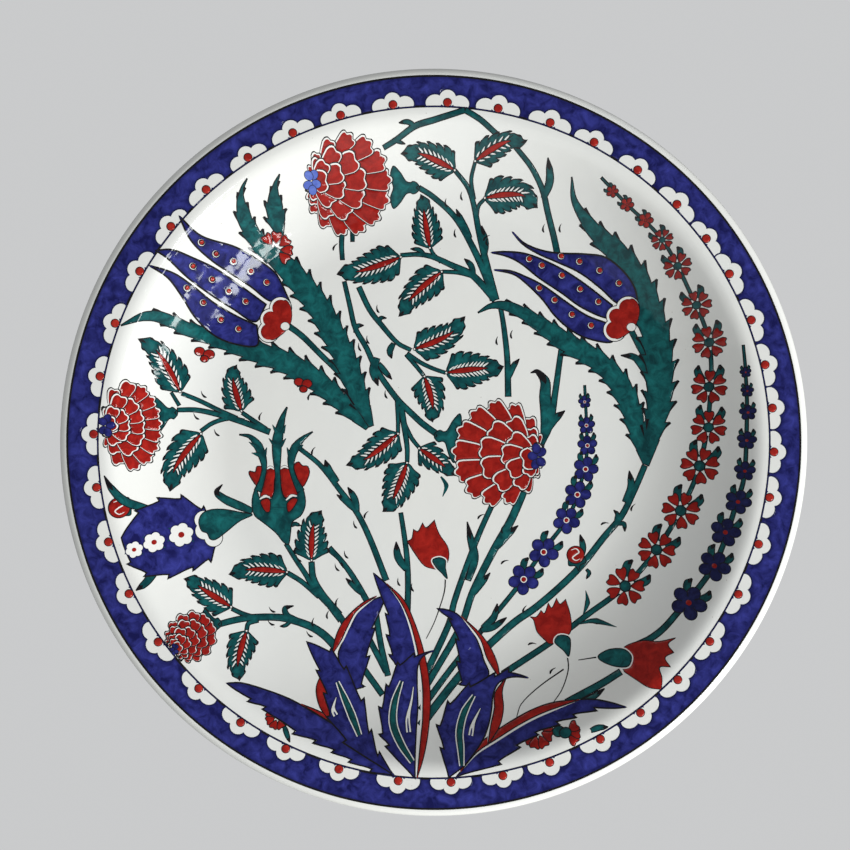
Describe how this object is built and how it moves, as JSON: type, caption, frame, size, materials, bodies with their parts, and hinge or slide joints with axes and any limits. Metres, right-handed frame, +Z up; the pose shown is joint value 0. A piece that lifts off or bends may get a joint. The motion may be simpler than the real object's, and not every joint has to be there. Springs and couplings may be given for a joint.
{
  "type": "ceramic wall plate",
  "caption": "Round glazed ceramic wall plate with a painted floral face and a pierced foot ring, hung from a nail by a twisted wire loop.",
  "frame": {"origin": "the point on the wall plane where the nail stands, level with the underside of the wire's top bend", "axes": "+Z up, +Y into the wall along the plate's axis, painted face looks along -Y, +X to the right of a person facing the plate"},
  "size_m": [0.4, 0.0526, 0.4],
  "materials": {
    "glazed_body": "gloss",
    "wire": "satin"
  },
  "bodies": {
    "hanger": {"hanging_wire": "wire"},
    "dish": {"plate": "glazed_body"}
  },
  "joints": [
    {"name": "plate_swing", "type": "hinge", "parent": "hanger", "child": "dish", "pos_m": [0, -0.005, -0.04656], "axis": [-1, 0, 0], "range_deg": [0, 12]}
  ]
}
